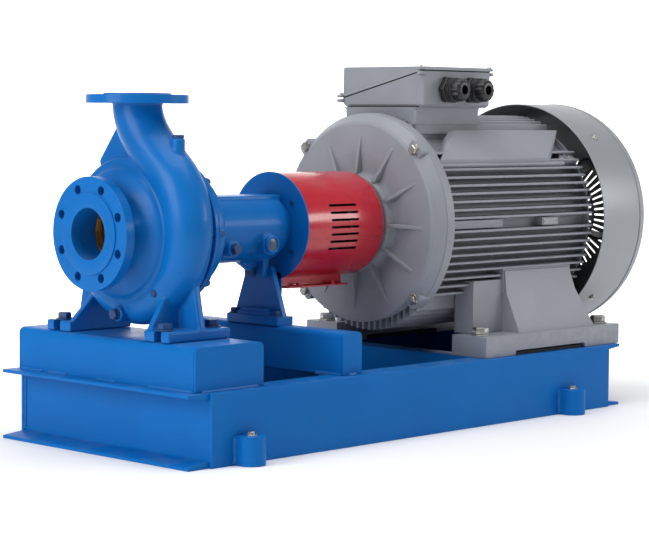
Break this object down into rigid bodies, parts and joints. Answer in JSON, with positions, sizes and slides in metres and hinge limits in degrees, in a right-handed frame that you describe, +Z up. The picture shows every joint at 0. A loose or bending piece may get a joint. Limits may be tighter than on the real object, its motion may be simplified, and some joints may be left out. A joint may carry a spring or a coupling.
{
  "type": "centrifugal water pump set",
  "caption": "End-suction centrifugal water pump with bearing bracket, jaw coupling under a slotted guard and finned electric motor, all on a welded channel base.",
  "frame": {"origin": "on the floor, under the middle of the whole set", "axes": "+X along the shaft from the suction flange to the fan cowl, +Z up, +Y to the side away from the cable glands"},
  "size_m": [1.475, 0.656, 0.762],
  "materials": {
    "blue_paint": "smooth blue machine enamel over cast iron and welded steel",
    "blue_fastener": "bolts and plugs painted over in dark blue",
    "red_guard": "high gloss red enamel on sheet steel",
    "motor_grey": "satin grey enamel over cast iron",
    "cowl_grey": "light grey satin enamel on pressed steel",
    "black_plastic": "moulded black polyamide",
    "machined_steel": "turned and ground steel",
    "zinc_fastener": "bright zinc plate",
    "bare_iron": "bare machined cast iron",
    "bronze": "machined bronze",
    "wound_copper": "varnished copper windings on laminated iron",
    "rubber": "black elastomer",
    "sight_glass": "clear window with amber oil behind",
    "seal_ceramic": "lapped off-white ceramic"
  },
  "bodies": {
    "root": {"base_cross_member": "blue_paint", "base_end_channel_front": "blue_paint", "base_end_channel_rear": "blue_paint", "base_side_rail_far": "blue_paint", "base_side_rail_near": "blue_paint", "bearing_bracket": "blue_paint", "bearing_cover": "blue_paint", "bracket_pedestal": "blue_paint", "cable_gland_front": "black_plastic", "cable_gland_rear": "black_plastic", "casing_cover": "blue_paint", "casing_drain_plug": "blue_fastener", "casing_foot_bolt_front_far": "blue_fastener", "casing_foot_bolt_front_near": "blue_fastener", "casing_foot_bolt_rear_far": "blue_fastener", "casing_foot_bolt_rear_near": "blue_fastener", "coupling_guard": "red_guard", "drive_end_shield": "motor_grey", "fan_cowl": "cowl_grey", "guard_end_plate": "blue_paint", "motor_bearing_front_outer_ring": "machined_steel", "motor_bearing_rear_outer_ring": "machined_steel", "motor_foot_bolt_front_far": "zinc_fastener", "motor_foot_bolt_front_near": "zinc_fastener", "motor_foot_bolt_rear_far": "zinc_fastener", "motor_foot_bolt_rear_near": "zinc_fastener", "motor_foot_far": "motor_grey", "motor_foot_near": "motor_grey", "motor_frame": "motor_grey", "oil_drain_plug": "blue_fastener", "oil_sight_glass": "sight_glass", "pump_bearing_front_outer_ring": "machined_steel", "pump_bearing_rear_outer_ring": "machined_steel", "pump_pedestal": "blue_paint", "rear_end_shield": "motor_grey", "seal_fixed_seat": "seal_ceramic", "stator": "wound_copper", "support_foot": "blue_paint", "terminal_block": "black_plastic", "terminal_box": "motor_grey", "terminal_box_lid": "motor_grey", "terminal_box_neck": "motor_grey", "volute_casing": "blue_paint", "wear_ring": "bronze"},
    "pump_rotor": {"pump_shaft": "machined_steel", "impeller": "bronze", "impeller_nut": "machined_steel", "seal_spinning_ring": "machined_steel", "pump_bearing_front_rolling_set": "machined_steel", "pump_bearing_rear_rolling_set": "machined_steel", "coupling_hub_pump": "bare_iron"},
    "motor_rotor": {"motor_shaft": "machined_steel", "rotor_core": "bare_iron", "motor_bearing_front_rolling_set": "machined_steel", "motor_bearing_rear_rolling_set": "machined_steel", "cooling_fan": "black_plastic", "coupling_hub_motor": "bare_iron", "coupling_spider": "rubber"}
  },
  "joints": [
    {"name": "motor_spin", "type": "hinge", "parent": "root", "child": "motor_rotor", "pos_m": [0.2, 0, 0.425], "axis": [1, 0, 0], "continuous": true},
    {"name": "pump_spin", "type": "hinge", "parent": "root", "child": "pump_rotor", "pos_m": [-0.35, 0, 0.425], "axis": [1, 0, 0], "continuous": true}
  ],
  "couplings": [
    {"joint": "pump_spin", "follows": "motor_spin", "ratio": 1}
  ]
}
